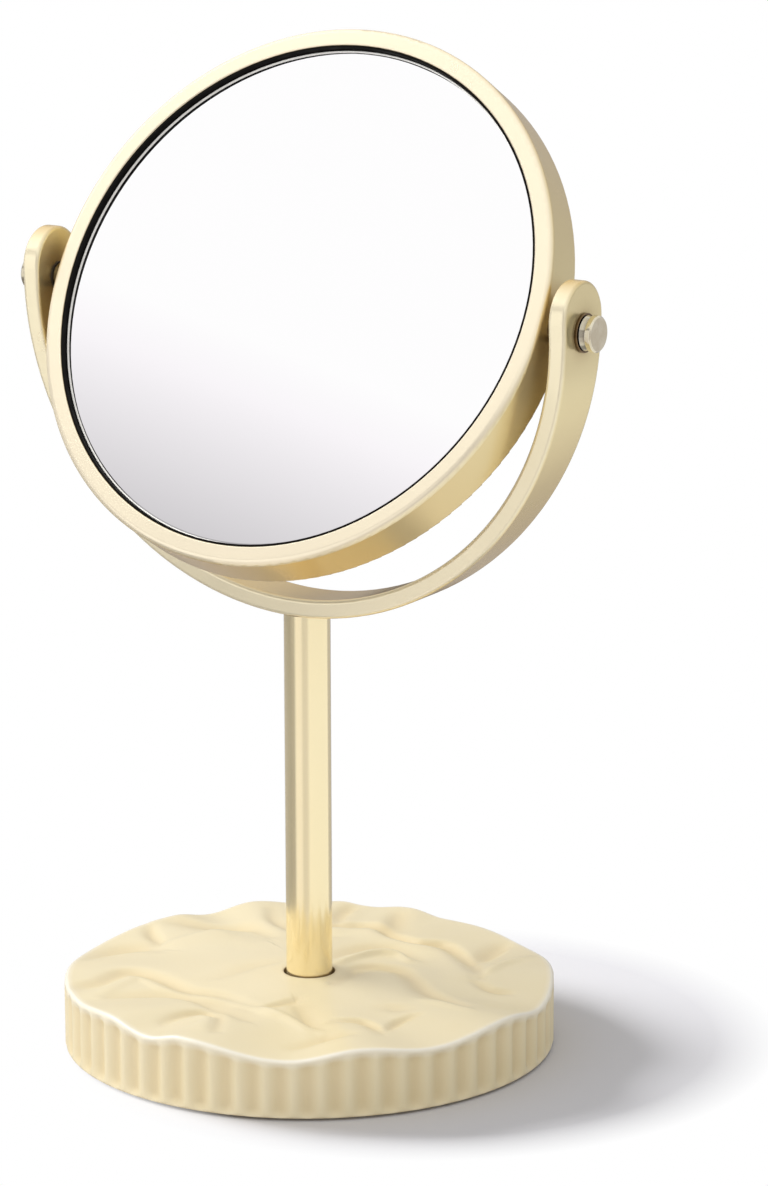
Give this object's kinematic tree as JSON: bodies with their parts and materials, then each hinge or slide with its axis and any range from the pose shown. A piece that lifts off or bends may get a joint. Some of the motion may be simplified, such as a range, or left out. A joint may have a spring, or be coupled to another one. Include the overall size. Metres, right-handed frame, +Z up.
{
  "type": "tilting table vanity mirror",
  "caption": "Round tilting table mirror in a U-shaped yoke on a straight round post and a fluted round base with a wavy, softly folded top.",
  "frame": {"origin": "centre of the underside of the base, on the table", "axes": "+Z up along the post, -Y is the way the looking glass faces, +X to the right seen from the front, along the tilt axis"},
  "size_m": [0.2116, 0.1594, 0.3259],
  "materials": {
    "lacquer": "satin cream-gold lacquer",
    "base_resin": "soft satin cream resin",
    "pivot_metal": "polished champagne plating",
    "looking_glass": "silvered glass",
    "black_rubber": "matt",
    "nylon": "natural nylon",
    "steel": "zinc plated",
    "weight_iron": "raw",
    "cover_plastic": "matt cream",
    "pad_foam": "matt foam"
  },
  "bodies": {
    "root": {"base_shell": "base_resin", "base_plate": "cover_plastic", "base_plate_screws": "steel", "base_pad": "pad_foam", "base_weight": "weight_iron", "post_tube": "lacquer", "post_bottom_plug": "steel", "post_top_plug": "steel", "post_bolt": "steel", "post_bolt_washer": "steel", "yoke_stud": "steel", "yoke": "lacquer", "ear_bush_left": "nylon", "ear_bush_right": "nylon", "outer_washer_left": "pivot_metal", "outer_washer_right": "pivot_metal"},
    "mirror_head": {"frame_ring": "lacquer", "rear_bezel": "lacquer", "front_seal": "black_rubber", "rear_seal": "black_rubber", "front_glass": "looking_glass", "rear_glass": "looking_glass", "spacer_hoop": "cover_plastic", "pivot_pin_left": "pivot_metal", "pivot_pin_right": "pivot_metal", "pivot_spacer_left": "pivot_metal", "pivot_spacer_right": "pivot_metal"},
    "left_knob": {"clamp_knob_left": "pivot_metal"},
    "right_knob": {"clamp_knob_right": "pivot_metal"}
  },
  "joints": [
    {"name": "mirror_tilt", "type": "hinge", "parent": "root", "child": "mirror_head", "pos_m": [0, 0, 0.2443], "axis": [1, 0, 0], "continuous": true},
    {"name": "knob_turn_left", "type": "hinge", "parent": "mirror_head", "child": "left_knob", "pos_m": [-0.104, 0, 0.2443], "axis": [1, 0, 0], "continuous": true},
    {"name": "knob_turn_right", "type": "hinge", "parent": "mirror_head", "child": "right_knob", "pos_m": [0.104, 0, 0.2443], "axis": [1, 0, 0], "continuous": true}
  ]
}
